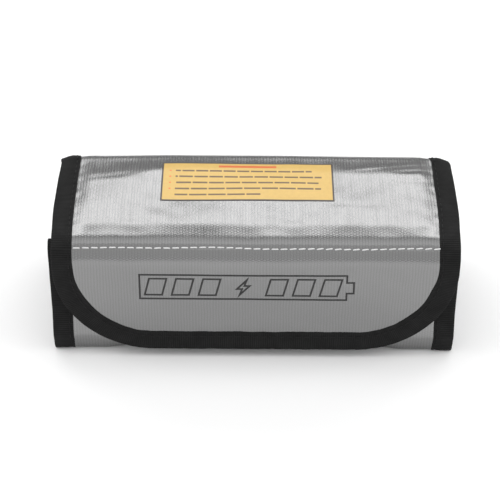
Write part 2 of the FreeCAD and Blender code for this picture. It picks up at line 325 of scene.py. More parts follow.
def new_object(name, points, faces, weave):
    """A smooth mesh with the given vertices and faces, and each vertex's place in its cloth."""
    mesh = bpy.data.meshes.new(name)
    mesh.from_pydata(np.asarray(points, float).reshape(-1, 3).tolist(), [], faces)
    attribute = mesh.attributes.new("weave", "FLOAT_VECTOR", "POINT")
    attribute.data.foreach_set("vector", np.asarray(weave, np.float32).reshape(-1))
    work = bmesh.new()
    work.from_mesh(mesh)
    bmesh.ops.recalc_face_normals(work, faces=work.faces)
    work.to_mesh(mesh)
    work.free()
    mesh.shade_smooth()
    return placed(name, mesh)


def grid_faces(rows, columns, start=0):
    i, j = np.meshgrid(np.arange(rows - 1), np.arange(columns - 1), indexing="ij")
    a = (start + i * columns + j).reshape(-1)
    return np.stack([a, a + 1, a + columns + 1, a + columns], 1).tolist()


def rim_faces(rows, columns):
    """The quads that join the borders of two equal grids, the second after the first."""
    top = [j for j in range(columns)]
    right = [i * columns + columns - 1 for i in range(1, rows)]
    bottom = [(rows - 1) * columns + j for j in range(columns - 2, -1, -1)]
    left = [i * columns for i in range(rows - 2, 0, -1)]
    loop = top + right + bottom + left
    count = rows * columns
    return [[a, b, b + count, a + count] for a, b in zip(loop, loop[1:] + loop[:1])]


def slab(name, outer, inner, weave):
    """A closed layer between two grids of points."""
    rows, columns = outer.shape[:2]
    faces = grid_faces(rows, columns) + grid_faces(rows, columns, rows * columns) + rim_faces(rows, columns)
    points = np.concatenate([outer.reshape(-1, 3), inner.reshape(-1, 3)])
    places = np.concatenate([weave.reshape(-1, 3)] * 2)
    obj = new_object(name, points, faces, places)
    obj.data.set_sharp_from_angle(angle=math.radians(55))
    return obj


def loft(name, rings, weave):
    """A closed skin over a row of closed rings, with flat ends."""
    count, around = rings.shape[:2]
    faces = []
    for i in range(count - 1):
        for j in range(around):
            k = (j + 1) % around
            faces.append([i * around + j, i * around + k, (i + 1) * around + k, (i + 1) * around + j])
    faces += [list(range(around)), list(range((count - 1) * around, count * around))]
    obj = new_object(name, rings, faces, weave)
    obj.data.set_sharp_from_angle(angle=math.radians(65))
    return obj


def spaced(start, end, step=STEP):
    return np.linspace(start, end, max(2, int(round(abs(end - start) / step)) + 1))


def quarter(radius, step=STEP):
    """Angles round a quarter turn, at a step along its arc."""
    return np.linspace(0, math.pi / 2, int(radius * math.pi / 2 / step) + 1)


def gathered(rows):
    """Several rows of places and directions end to end, as one."""
    return [np.concatenate(values) for values in zip(*rows)]


def place_vectors(a, b):
    a, b = np.broadcast_arrays(a, b)
    return np.stack([a, b, np.zeros(a.shape)], -1)


# -------- layers of the wall


def under_tape(x, s):
    return 1 - smooth(BINDING - 0.9 * MM, BINDING - 0.1 * MM, edge_distance(x, s))


def cloth_outer(x, s):
    return 0.35 * MM * under_tape(x, s)


def cloth_inner(x, s):
    return CLOTH


def felt_inner(x, s):
    return CLOTH + FELT * smooth(BINDING + FELT_EDGE - 0.5 * MM, BINDING + 4 * MM, edge_distance(x, s))


def lining_inner(x, s):
    return felt_inner(x, s) + LINING


def strip_rows(s_from, s_to, inset):
    """The rows of a layer's grid, closer together where the flap's outline turns."""
    last = min(s_to, S_FOOT - inset)
    if last <= S_CORNER:
        return spaced(s_from, last)
    radius = FLAP_CORNER - inset
    return np.concatenate([spaced(s_from, S_CORNER)[:-1], S_CORNER + radius * np.sin(quarter(radius))])


def strip_layer(name, s_from, s_to, inset, outer, inner, fin=0.0):
    """A layer of the wall between two lengths along the strip, drawn in from the bound edge.

    fin is how far its ends stand above the rest of its first edge.
    """
    rows = strip_rows(s_from, s_to, inset)
    past = np.clip(rows - S_CORNER, 0, FLAP_CORNER - inset)
    half = HALF - FLAP_CORNER + np.sqrt(np.maximum((FLAP_CORNER - inset) ** 2 - past**2, 0))
    # inside the tape the edge stops short where the lid folds back
    half = half - max(BINDING - 1.5 * MM - inset, 0) * (np.abs(rows - S_HINGE) < 4.6 * MM)
    columns = np.linspace(-1, 1, int(2 * (HALF - inset) / STEP) + 1)
    x, s = half[:, None] * columns[None, :], np.repeat(rows[:, None], len(columns), 1)
    s = s - fin * smooth(FIELD - 1 * MM, FIELD + 0.5 * MM, np.abs(x)) * (1 - smooth(0, 12 * MM, s))
    return slab(name, wall(x, s, outer(x, s)), wall(x, s, inner(x, s)), place_vectors(x, s))


def tape_profile(width, thickness):
    """The section of tape folded over an edge, as distances in from the edge and depths."""
    proud, tape, nose = 0.32 * MM, TAPE_THICK, 0.55 * MM
    low, high = -proud, thickness + proud
    middle, reach = (low + high) / 2, (high - low) / 2
    angles = np.radians(np.linspace(90, -90, 9))
    bend_a = nose - nose * np.cos(angles)
    bend_depth = middle - reach * np.sin(angles)
    inside_a = nose + tape * 0.4 - (nose - tape * 0.5) * np.cos(angles[::-2])
    inside_depth = middle - (reach - tape) * np.sin(angles[::-2])
    back_width = width - 0.4 * MM
    across = np.array([0.97, 0.9, 0.84, 0.78, 0.6, 0.4, 0.2])
    outer_leg = [(width, proud * 0.25), (width - 0.08 * MM, -proud * 0.6)]
    outer_leg += [(width * t, low) for t in across]
    inner_leg = [(back_width * t, high) for t in across[::-1]]
    inner_leg += [(back_width - 0.08 * MM, high - proud * 0.4), (back_width, high - tape * 0.7)]
    inner_leg += [(back_width * 0.9, high - tape), (back_width * 0.5, high - tape)]
    cavity = list(zip(inside_a, inside_depth)) + [(width * 0.5, low + tape), (width * 0.9, low + tape)]
    return np.array(outer_leg + list(zip(bend_a, bend_depth)) + inner_leg + cavity)


def tape_depth(distance, depth, along, seed):
    """The tape's depth with its seam drawn in and its edge a little uneven."""
    tight = 0.75 + 0.25 * np.cos(math.tau * along / STITCH_PITCH)
    seam = 0.2 * MM * bump(distance, SEAM_INSET, 0.75 * MM) * tight
    uneven = 0.07 * MM * ripples(along, distance, 14 * MM, 30 * MM, seed)
    return depth + np.where(depth < 0, seam + uneven, -seam * 0.6 - uneven)


def edge_tape(name, x, s, in_x, in_s, width, thickness, seed, place=wall):
    """Tape folded over an edge that runs through places (x, s), with (in_x, in_s) pointing in from it."""
    along = np.concatenate([[0], np.cumsum(np.hypot(np.diff(x), np.diff(s)))])
    profile = tape_profile(BINDING, thickness)
    distance, depth = profile[None, :, 0], profile[None, :, 1]
    wander = 1 + 0.012 * ripples(along, 0, 31 * MM, 1, seed + 40)
    distance = distance * (wander * width / BINDING)[:, None]
    depth = tape_depth(distance, depth, along[:, None], seed)
    rings = place(x[:, None] + in_x[:, None] * distance, s[:, None] + in_s[:, None] * distance, depth)
    weave = place_vectors(np.broadcast_to(distance, rings.shape[:2]), along[:, None])
    return loft(name, rings, weave)


def side_tape(name, side, s_from, s_to, seed):
    """The tape on one end of a stretch of the strip."""
    s = spaced(s_from, s_to, TAPE_STEP)
    x = np.full(s.shape, side * HALF)
    return edge_tape(name, x, s, np.full(s.shape, -side), np.zeros(s.shape), BINDING, CLOTH + LINING, seed)


def flap_tape(name, seed):
    """The tape round the flap, from crease to crease."""
    sides, angles = spaced(S_CREASE, S_CORNER, TAPE_STEP)[:-1], quarter(FLAP_CORNER, TAPE_STEP)
    centre = HALF - FLAP_CORNER
    straight = spaced(-centre, centre, TAPE_STEP)[1:-1]
    stretches = (
        (-centre, sides, [0]),
        (-centre, S_CORNER, angles),
        (straight, S_CORNER, math.pi / 2),
        (centre, S_CORNER, math.pi - angles[::-1]),
        (centre, sides[::-1], math.pi),
    )
    x, s, angle = gathered([np.broadcast_arrays(*stretch) for stretch in stretches])
    in_x, in_s = np.cos(angle), -np.sin(angle)
    x, s = x - FLAP_CORNER * in_x, s - FLAP_CORNER * in_s
    width = BINDING + 1.1 * MM * smooth(S_CREASE + 8 * MM, S_CORNER + 20 * MM, s)
    return edge_tape(name, x, s, in_x, in_s, width, CLOTH + LINING, seed)


def mouth_tape(name, seed):
    """The tape over the front's top edge."""
    x = spaced(-FIELD + EDGE_INSET, FIELD - EDGE_INSET, TAPE_STEP)
    zero, one = np.zeros(x.shape), np.ones(x.shape)
    return edge_tape(name, x, zero, zero, one, MOUTH_BINDING, WALL, seed)


# -------- the end panels


def end_boundary(depth, x=FIELD, below=EDGE_COVER):
    """The end panel's four sides at a depth inside the strip and at x along it, as functions of 0 to 1.

    below is how far its top edge stops short of the tape's.
    """
    front_foot, back_foot = (S_FRONT + S_BASE) / 2, (S_BASE_END + S_BACK) / 2
    back_top = S_SPLIT - 0.5 * MM

    def at(s):
        return wall(x, s, depth)[..., 1:]

    def rim(t):
        start, end = at(np.array([below]))[0], at(np.array([back_top]))[0]
        base = start + (end - start) * t[..., None]
        rise = END_RIM - 0.6 * MM - below - base[..., 1]
        lift = smooth(0, 0.14, t) * (1 - smooth(0.84, 1, t))
        base[..., 1] += rise * lift
        return base

    return (
        lambda t: at(front_foot * (1 - t) + below * t),
        lambda t: at(front_foot + (back_foot - front_foot) * t),
        lambda t: at(back_foot + (back_top - back_foot) * t),
        rim,
    )


def end_yz(u, v, depth, x=FIELD):
    """Places in the end panel's plane: u from front to back and v from the base to the rim."""
    front, base, back, rim = end_boundary(depth, x)
    corners = [side(np.array([t]))[0] for side, t in ((base, 0), (base, 1), (rim, 0), (rim, 1))]
    u_, v_ = u[..., None], v[..., None]
    edges = (1 - v_) * base(u) + v_ * rim(u) + (1 - u_) * front(v) + u_ * back(v)
    low = (1 - v_) * ((1 - u_) * corners[0] + u_ * corners[1])
    high = v_ * ((1 - u_) * corners[2] + u_ * corners[3])
    return edges - low - high


def end_bulge(side, u, v):
    """How far the end panel swells outwards."""
    dome = (np.sin(math.pi * np.clip(u, 0, 1)) * np.sin(math.pi * np.clip(v, 0, 0.97))) ** 0.7
    return dome * (1.6 * MM + 0.5 * MM * ripples(u, v, 0.7, 0.6, 31 + side))


def end_points(side, u, v, depth, inside):
    """Points of an end panel's layer, a depth in from its face."""
    yz = end_yz(u, v, inside)
    x = side * (FIELD - depth + end_bulge(side, u, v))
    return np.concatenate([x[..., None], yz], -1)


def end_grid(columns=60, rows=50):
    return np.meshgrid(np.linspace(0, 1, columns), np.linspace(0, 1, rows))


def end_layer(name, side, outer, inner):
    u, v = end_grid()
    top, under = (end_points(side, u, v, depth, WALL) for depth in (outer, inner))
    return slab(name, top, under, place_vectors(top[..., 1], top[..., 2]))


def end_shell(name, side):
    """The end panel's silver cloth, turned outwards round its edge to meet the wrap's."""
    flange = CLOTH + END_CLOTH
    u, v = end_grid()
    rows, columns = u.shape
    panel = end_points(side, u, v, 0, flange + END_BEND)
    loop = [(i, 0) for i in range(rows - 1, -1, -1)]
    loop += [(0, j) for j in range(1, columns)]
    loop += [(i, columns - 1) for i in range(1, rows)]
    border = [np.array([grid[i, j] for i, j in loop]) for grid in (u, v)]
    points = [panel.reshape(-1, 3)]
    for angle in np.radians((22.5, 45, 67.5, 90)):
        out, down = END_BEND * (1 - math.cos(angle)), END_BEND * (1 - math.sin(angle))
        points.append(end_ring(side, *border, FIELD + out, flange + down))
    for x in np.linspace(FIELD + END_BEND, HALF - EDGE_INSET, 9)[1:]:
        points.append(end_ring(side, *border, x, flange))
    faces = grid_faces(rows, columns)
    previous = [i * columns + j for i, j in loop]
    start = rows * columns
    for ring in points[1:]:
        current = list(range(start, start + len(ring)))
        faces += [[a, b, d, c] for a, b, c, d in zip(previous, previous[1:], current, current[1:])]
        previous, start = current, start + len(ring)
    points = np.concatenate(points)
    obj = new_object(name, points, faces, points[:, [1, 2, 0]])
    thicken(obj, END_CLOTH, side)
    return obj


def end_ring(side, u, v, x, depth):
    yz = end_yz(u, v, depth, x)
    return np.concatenate([np.full((len(u), 1), side * x), yz], 1)


def thicken(obj, thick, side):
    """Gives an open sheet its thickness, on the side away from the end's recess."""
    work = bmesh.new()
    work.from_mesh(obj.data)
    aim = Vector((side * FIELD, 0, 0.03))
    middle = min(work.faces, key=lambda face: (face.calc_center_median() - aim).length)
    if middle.normal.x * side < 0:
        bmesh.ops.reverse_faces(work, faces=work.faces)
    work.to_mesh(obj.data)
    work.free()
    solid = obj.modifiers.new("thickness", "SOLIDIFY")
    solid.thickness, solid.offset = thick, -1
    bpy.context.view_layer.update()
    graph = bpy.context.evaluated_depsgraph_get()
    finished = obj.evaluated_get(graph)
    mesh = bpy.data.meshes.new_from_object(finished, preserve_all_data_layers=True, depsgraph=graph)
    obj.modifiers.clear()
    obj.data = mesh


def rim_tape(name, side, seed):
    """The tape over an end panel's top edge."""
    rim = end_boundary(WALL, below=0)[3]

    def place(u, down, depth):
        line = rim(u)
        x = side * (FIELD - depth + end_bulge(side, u, 1 - down / END_RIM))
        return np.stack([x, line[..., 0], line[..., 1] - down], -1)

    t = np.linspace(0.015, 0.985, 90)
    zero = np.zeros(t.shape)
    return edge_tape(name, t, zero, zero, zero + 1, MOUTH_BINDING, WALL, seed, place)


# -------- stitches


def threads(name, lines, lifts, radius, weave_step, sides=8):
    """Short threads along lines of points, with lifts pointing away from the cloth, as one mesh."""
    count, steps = lines.shape[:2]
    tangent = np.gradient(lines, axis=1)
    tangent /= np.linalg.norm(tangent, axis=2)[..., None]
    across = np.cross(tangent, lifts)
    across /= np.linalg.norm(across, axis=2)[..., None]
    up = np.cross(across, tangent)
    angle = np.linspace(0, math.tau, sides, endpoint=False)[:, None]
    spoke = np.cos(angle) * across[:, :, None] + np.sin(angle) * up[:, :, None]
    rings = lines[:, :, None] + radius[:, None, None] * spoke
    a, b = np.arange((steps - 1) * sides), np.arange(sides)
    right = a - a % sides + (a + 1) % sides
    quads = np.stack([a, right, right + sides, a + sides], 1)
    starts = np.arange(count)[:, None, None] * steps * sides
    faces = (quads[None] + starts).reshape(-1, 4).tolist()
    for cap in (b, b + (steps - 1) * sides):
        faces += (cap[None] + starts[:, 0]).tolist()
    weave = np.zeros(rings.shape)
    weave[..., 0] = (np.arange(steps) * weave_step)[:, None]
    weave[..., 1] = np.arange(sides) / sides
    weave[..., 2] = np.arange(count)[:, None, None]
    return new_object(name, rings, faces, weave)


def stitches(name, x, s, dx, ds, base=0.0, face=-1, slant=0.0, length=STITCH, radius=THREAD):
    """A row of stitches centred on places (x, s) and lying along (dx, ds).

    base is the depth of the surface that they lie on, and face is -1 on the outside and 1 on the inside.
    """
    rng = np.random.default_rng(len(name))
    tilt = slant + rng.normal(0, 0.03, len(x))
    ux, us = dx * np.cos(tilt) - ds * np.sin(tilt), dx * np.sin(tilt) + ds * np.cos(tilt)
    t = np.linspace(-1, 1, 11)
    height = radius * (0.75 - 1.9 * np.abs(t) ** 5)
    px, ps = (a[:, None] + u[:, None] * t * length / 2 for a, u in ((x, ux), (s, us)))
    lines = wall(px, ps, base + face * height)
    lifts = wall(px, ps, base + face * (height + MM)) - lines
    return threads(name, lines, lifts, radius * (1 - 0.35 * np.abs(t) ** 6), length / len(t))


def row_places(start, end):
    """Even places for a straight row of stitches, and its direction."""
    (x0, s0), (x1, s1) = start, end
    long = math.hypot(x1 - x0, s1 - s0)
    count = max(1, round(long / STITCH_PITCH))
    t = (np.arange(count) + 0.5) / count
    dx, ds = (np.full(count, part / long) for part in (x1 - x0, s1 - s0))
    return x0 + (x1 - x0) * t, s0 + (s1 - s0) * t, dx, ds


def straight_stitches(name, start, end, **options):
    return stitches(name, *row_places(start, end), **options)


def joined(name, pieces):
    """One object out of several, which are used up."""
    work = bmesh.new()
    for piece in pieces:
        work.from_mesh(piece.data)
        bpy.data.objects.remove(piece)
    mesh = bpy.data.meshes.new(name)
    work.to_mesh(mesh)
    work.free()
    return placed(name, mesh)


def crease_stitches(name):
    x, _, dx, ds = row_places((-FIELD, 0), (FIELD + 1 * MM, 0))
    s = crease_row(x)
    slant = -0.11 * smooth(0, 40 * MM, x)
    return stitches(name, x, s, dx, ds, slant=slant, length=3.2 * MM, radius=0.31 * MM)


def flap_stitches(name):
    inset, centre = SEAM_INSET, HALF - FLAP_CORNER
    radius = FLAP_CORNER - inset
    rows = [row_places((-centre, S_FOOT - inset), (centre, S_FOOT - inset))]
    count = round(radius * math.pi / 2 / STITCH_PITCH)
    angle = (np.arange(count) + 0.5) / count * math.pi / 2
    for side in (-1, 1):
        x, s = side * (centre + radius * np.cos(angle)), S_CORNER + radius * np.sin(angle)
        rows.append((x, s, -side * np.sin(angle), np.cos(angle)))
        x = side * (HALF - inset)
        rows.append(row_places((x, S_CREASE + 2 * MM), (x, S_CORNER)))
    return stitches(name, *gathered(rows), **OUTER_SEAM)


def end_stitches(name, side):
    x = side * (HALF - SEAM_INSET)
    inner_seam = dict(base=CLOTH + LINING + 0.15 * MM, radius=0.22 * MM, face=1)
    rows = [
        straight_stitches(name + "_a", (x, 2 * MM), (x, S_FRONT), **OUTER_SEAM),
        straight_stitches(name + "_b", (x, S_BACK), (x, S_SPLIT), **OUTER_SEAM),
        straight_stitches(name + "_c", (x, 2 * MM), (x, S_SPLIT), **inner_seam),
    ]
    return joined(name, rows)


# -------- label, print, hook and loop


def label_piece(name):
    low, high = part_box("label")
    x = spaced(low.x, high.x)
    back = S_LID + BACK - BACK_RADIUS + LABEL_SHIFT
    s = spaced(back - high.y, back - low.y)
    x, s = np.meshgrid(x, s)
    height = 0.16 * MM - 0.1 * MM * (1 - smooth(0, 0.9 * MM, np.minimum(x - low.x, high.x - x)))
    middle_x, middle_s = (low.x + high.x) / 2, (s[0, 0] + s[-1, 0]) / 2
    return slab(name, wall(x, s, -height), wall(x, s, -0.01 * MM), place_vectors(x - middle_x, middle_s - s))


def ribbon(corners, width):
    """A printed line round corners, as the left and right places at each."""
    corners = np.array(corners, float)
    d0, d1 = corners - np.roll(corners, 1, 0), np.roll(corners, -1, 0) - corners
    d0, d1 = (d / np.linalg.norm(d, axis=1)[:, None] for d in (d0, d1))
    n0, n1 = (np.stack([-d[:, 1], d[:, 0]], 1) for d in (d0, d1))
    mitre = (n0 + n1) / (1 + np.sum(n0 * n1, 1))[:, None]
    return corners - mitre * width / 2, corners + mitre * width / 2


def resample(corners, step=1.5 * MM):
    """The same outline with points along its straight runs, so that it follows a curved wall."""
    out = []
    for a, b in zip(corners, corners[1:] + corners[:1]):
        count = max(1, int(math.dist(a, b) / step))
        out += [(a[0] + (b[0] - a[0]) * i / count, a[1] + (b[1] - a[1]) * i / count) for i in range(count)]
    return out


def battery_mark():
    """Outlines of a lying battery with its cells and a charging bolt, about the middle of the mark."""
    long, high, gap = 94.5 * MM, 13.7 * MM, 2.2 * MM
    x, y = long / 2, high / 2
    nub, nub_y = 3.2 * MM, high * 0.22
    case = [(-x, -y), (x, -y), (x, -nub_y), (x + nub, -nub_y), (x + nub, nub_y), (x, nub_y), (x, y), (-x, y)]
    outlines = [case]
    cells = 6
    pitch = (long - gap) / (cells + 1.5)
    inner_y = y - gap
    lean = 2.2 * MM
    for i in range(cells):
        left = -x + gap + (i if i < cells // 2 else i + 1.5) * pitch
        right = left + pitch - gap
        cell = [(left, -inner_y), (right - lean, -inner_y), (right, inner_y), (left + lean, inner_y)]
        outlines.append(cell)
    middle = -x + gap + (cells // 2 + 0.75) * pitch - gap / 2
    bolt = [(1.6, 4.3), (-2.9, -0.9), (-0.5, -0.9), (-1.6, -4.3), (2.9, 0.9), (0.5, 0.9)]
    outlines.append([(middle + a * MM, b * MM) for a, b in bolt])
    return outlines


def print_piece(name):
    """The printed mark on the flap: a thin film of ink over the cloth."""
    middle_x, middle_s = -5.6 * MM, S_CREASE + 19.8 * MM
    points, faces, weave = [], [], []
    for corners in battery_mark():
        line = resample(corners)
        left, right = ribbon(line, 0.85 * MM)
        count = len(line)
        start = len(points)
        for depth in (-0.07 * MM, 0.02 * MM):
            for side in (left, right):
                points += list(wall(middle_x + side[:, 0], middle_s - side[:, 1], depth))
                weave += [(a, b, 0) for a, b in side]
        for i in range(count):
            k = (i + 1) % count
            a, b, c, d = (start + n * count for n in range(4))
            faces += [[a + i, a + k, b + k, b + i], [c + i, c + k, d + k, d + i]]
            faces += [[a + i, a + k, c + k, c + i], [b + i, b + k, d + k, d + i]]
    return new_object(name, points, faces, weave)


def pile(name, s_middle, x_half, s_half, base, tip, face, looped, pitch):
    """Rows of little loops or hooks standing on a strip, as one mesh."""
    rng = np.random.default_rng(17)
    x, s = np.arange(-x_half, x_half, pitch), np.arange(s_middle - s_half, s_middle + s_half, pitch)
    x, s = (grid.reshape(-1) for grid in np.meshgrid(x, s))
    count = len(x)
    rise = abs(tip - base) * (rng.uniform(0.7, 1.0, count) if looped else np.ones(count))
    if looped:
        x, s = x + rng.normal(0, pitch / 4, count), s + rng.normal(0, pitch / 4, count)
        spin, thick = rng.uniform(0, math.tau, count), 0.08 * MM
        angle = np.radians(np.linspace(0, 180, 7))
        out = np.concatenate([[0], 1 - np.cos(angle), [2]]) * 0.45
        up = np.concatenate([[0], 0.45 + 0.55 * np.sin(angle), [0]])
    else:
        spin, thick = np.where(np.arange(count) % 2, 0.0, math.pi), 0.12 * MM
        angle = np.radians(np.linspace(0, 215, 7))
        out = np.concatenate([[0], 1 - np.cos(angle)]) * 0.3
        up = np.concatenate([[0], 0.65 + 0.35 * np.sin(angle)])
    dx, ds = np.cos(spin)[:, None], np.sin(spin)[:, None]
    out, up = out * rise[:, None], up * rise[:, None]
    px, ps = x[:, None] + dx * out, s[:, None] + ds * out
    lines = wall(px, ps, base + face * up)
    lifts = wall(px + ds * thick, ps - dx * thick, base + face * up) - lines
    return threads(name, lines, lifts, np.full(out.shape[1], thick), pitch, 4)


# -------- materials


class Shader:
    """A material being made: its nodes, and short ways to add to them."""

    def __init__(self, name, **constants):
        self.material = bpy.data.materials.new(name)
        self.material.use_nodes = True
        self.tree = self.material.node_tree
        self.surface = self.tree.nodes["Principled BSDF"]
        for socket, value in constants.items():
            self.surface.inputs[socket.replace("_", " ")].default_value = value

    def node(self, kind, inputs, output=0, **settings):
        node = self.tree.nodes.new("ShaderNode" + kind)
        for key, value in settings.items():
            setattr(node, key, value)
        for socket, value in inputs.items():
            self.put(node.inputs[socket], value)
        return node.outputs[output]

    def put(self, socket, value):
        if isinstance(value, bpy.types.NodeSocket):
            self.tree.links.new(value, socket)
        else:
            socket.default_value = value

    def math(self, operation, a, b=0.0, c=0.0):
        return self.node("Math", {0: a, 1: b, 2: c}, operation=operation)

    def times(self, a, b, c=0.0):
        """a times b, plus c."""
        return self.math("MULTIPLY_ADD", a, b, c)

    def weave(self):
        """The cloth's own coordinates, in millimetres."""
        place = self.node("Attribute", {}, "Vector", attribute_name="weave")
        scaled = self.node("VectorMath", {0: place, "Scale": 1 / MM}, operation="SCALE")
        split = self.node("SeparateXYZ", {0: scaled})
        return scaled, split, split.node.outputs[1]

    def noise(self, vector, scale, detail=2.0, roughness=0.5):
        inputs = {"Vector": vector, "Scale": scale, "Detail": detail, "Roughness": roughness}
        return self.node("TexNoise", inputs)

    def stretched(self, vector, x, y):
        return self.node("VectorMath", {0: vector, 1: (x, y, 1.0)}, operation="MULTIPLY")

    def ribs(self, along, pitch, shift=0.0):
        """Round ridges across a direction, from 0 to 1."""
        return self.math("ABSOLUTE", self.math("SINE", self.times(along, math.pi / pitch, shift)))

    def ramp(self, value, low, high, start=0.0, end=1.0):
        return self.node("MapRange", {"Value": value, 1: low, 2: high, 3: start, 4: end})

    def spread(self, noise, start, end):
        """A noise's usual range brought to the range from start to end."""
        return self.ramp(noise, 0.3, 0.7, start, end)

    def inside(self, value, low, high, soft=0.06):
        """1 where a value is between low and high, with slightly soft edges."""
        rise = self.ramp(value, low - soft, low + soft)
        return self.times(rise, self.ramp(value, high - soft, high + soft, 1.0, 0.0))

    def mix(self, factor, a, b):
        """A colour between a and b, either of them a node's colour or a fixed one."""
        a, b = ((*colour, 1) if isinstance(colour, tuple) else colour for colour in (a, b))
        return self.node("Mix", {"Factor": factor, 6: a, 7: b}, 2, data_type="RGBA")

    def finish(self, colour, roughness, height, distance):
        """The material, with its colour, its roughness and a relief of the given height."""
        relief = self.node("Bump", {"Height": height, "Distance": distance, "Strength": 1.0})
        for socket, value in (("Base Color", colour), ("Roughness", roughness), ("Normal", relief)):
            self.put(self.surface.inputs[socket], value)
        return self.material


def grey(value):
    return (value, value, value)


def silver_cloth():
    """Woven glass cloth with a bright aluminium face: strong ribs one way and a fine weave the other."""
    shader = Shader("silver_cloth", Metallic=1.0)
    place, x, s = shader.weave()
    drift = shader.noise(shader.stretched(place, 0.14, 0.09), 1.0, 2.0)
    x = shader.times(drift, 1.1, x)
    warp = shader.ribs(x, 1.35)
    odd = shader.times(shader.math("FLOOR", shader.math("DIVIDE", x, 1.35)), math.pi)
    weft = shader.math("COSINE", shader.times(s, math.tau / 1.05, odd))
    knots = shader.times(weft, 0.22, 0.78)
    streaks = shader.noise(shader.stretched(place, 0.45, 0.03), 1.0, 3.0, 0.6)
    grain = shader.noise(place, 1.4, 2.0)
    height = shader.times(grain, 0.5, shader.times(warp, knots))
    crowns = shader.ramp(shader.times(warp, knots), 0.05, 0.75)
    shade = shader.times(crowns, shader.ramp(shader.math("ADD", streaks, grain), 0.7, 1.3, 0.86, 1.0))
    colour = shader.mix(shade, grey(0.23), grey(0.273))
    roughness = shader.spread(streaks, 0.2, 0.27)
    return shader.finish(colour, roughness, height, 0.045 * MM)


def binding_tape():
    """Black grosgrain: fine ribs across the tape, dusty on their crowns."""
    shader = Shader("binding_tape", Specular_IOR_Level=0.14)
    place, across, along = shader.weave()
    ribs = shader.ribs(along, 1.0)
    fibres = shader.noise(shader.stretched(place, 1.5, 5.0), 1.0, 3.0)
    wear = shader.noise(place, 0.12, 3.0)
    crown = shader.times(shader.times(ribs, fibres), shader.spread(wear, 0.6, 1.3))
    colour = shader.mix(crown, grey(0.004), grey(0.028))
    roughness = shader.spread(fibres, 0.7, 0.88)
    return shader.finish(colour, roughness, shader.times(fibres, 0.35, ribs), 0.12 * MM)


def thread(name, dark, light, rough):
    """Sewing thread of three twisted plies."""
    shader = Shader(name, Specular_IOR_Level=0.25)
    _, along, around = shader.weave()
    turned = shader.times(around, 3 * math.pi * MM)
    plies = shader.ribs(along, 0.42, turned)
    colour = shader.mix(plies, grey(dark), grey(light))
    roughness = shader.ramp(plies, 0.0, 1.0, rough + 0.15, rough)
    return shader.finish(colour, roughness, plies, 0.05 * MM)


def lining_cloth():
    """Plain off-white glass cloth inside the pouch."""
    shader = Shader("lining_cloth", Specular_IOR_Level=0.3)
    place, x, s = shader.weave()
    over, under = shader.ribs(x, 0.9), shader.ribs(s, 0.9, math.pi / 2)
    slub = shader.noise(place, 0.6, 3.0)
    height = shader.math("MAXIMUM", over, under)
    shade = shader.times(height, shader.spread(slub, 0.75, 1.0))
    colour = shader.mix(shade, (0.42, 0.40, 0.36), (0.68, 0.66, 0.61))
    roughness = shader.spread(slub, 0.7, 0.85)
    return shader.finish(colour, roughness, height, 0.12 * MM)


def glass_felt():
    """Matted white fibre between the cloth and the lining."""
    shader = Shader("glass_felt", Specular_IOR_Level=0.2, Sheen_Weight=0.2)
    place, _, _ = shader.weave()
    matted, fine = shader.noise(place, 0.5, 5.0, 0.7), shader.noise(place, 3.0, 2.0)
    colour = shader.mix(matted, (0.55, 0.54, 0.50), (0.78, 0.77, 0.73))
    roughness = shader.spread(fine, 0.85, 0.95)
    return shader.finish(colour, roughness, shader.math("ADD", matted, fine), 0.3 * MM)


def black_pile(name, light, rough):
    """Black nylon for hook and loop."""
    shader = Shader(name, Specular_IOR_Level=0.45, Sheen_Weight=0.1)
    place, _, _ = shader.weave()
    mottle, fine = shader.noise(place, 0.35, 3.0), shader.noise(place, 2.5, 2.0)
    colour = shader.mix(mottle, grey(0.008), grey(light))
    roughness = shader.spread(fine, rough, rough + 0.2)
    return shader.finish(colour, roughness, fine, 0.08 * MM)


def black_ink():
    shader = Shader("black_ink", Specular_IOR_Level=0.5)
    place, x, _ = shader.weave()
    worn, ribs = shader.noise(place, 2.2, 3.0), shader.ribs(x, 1.35)
    colour = shader.mix(shader.times(worn, ribs), grey(0.006), grey(0.03))
    roughness = shader.spread(worn, 0.4, 0.55)
    return shader.finish(colour, roughness, ribs, 0.03 * MM)


def label_film():
    """Yellow printed film: a dark border, a red bar, and plain dashes with orange dots before them."""
    low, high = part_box("label")
    shader = Shader("label_film", Specular_IOR_Level=0.5, Coat_Weight=0.25, Coat_Roughness=0.25)
    place, x, y = shader.weave()
    mottle = shader.noise(place, 0.5, 3.0)
    colour = shader.mix(mottle, (0.56, 0.355, 0.08), (0.66, 0.44, 0.115))
    title = shader.times(shader.inside(x, -13.5, 13.5), shader.inside(y, 10.5, 12.5))
    colour = shader.mix(title, colour, (0.62, 0.13, 0.02))
    for row in range(5):
        middle = 7.6 - 4.5 * row
        end = (30.0, 34.5, 33.0, 34.0, 6.0)[row]
        words = shader.math("PINGPONG", shader.math("ADD", x, 50.0 + 3.1 * row), 3.2 + 0.3 * row)
        line = shader.times(shader.inside(y, middle - 0.6, middle + 0.6), shader.inside(x, -33.5, end))
        dashes = shader.times(line, shader.ramp(words, 0.3, 0.42))
        colour = shader.mix(dashes, colour, (0.13, 0.075, 0.025))
        if row < 4:
            spot = shader.inside(y, middle - 0.45, middle + 0.45)
            spot = shader.times(spot, shader.inside(x, -36.4, -35.5))
            colour = shader.mix(spot, colour, (0.72, 0.16, 0.03))
    sides = ((x, high.x - low.x), (y, high.y - low.y))
    edges = [shader.math("SUBTRACT", size / 2 / MM, shader.math("ABSOLUTE", at)) for at, size in sides]
    border = shader.ramp(shader.math("MINIMUM", *edges), 0.7, 0.9, 1.0, 0.0)
    colour = shader.mix(border, colour, (0.035, 0.025, 0.02))
    roughness = shader.spread(mottle, 0.34, 0.46)
    return shader.finish(colour, roughness, mottle, 0.02 * MM)


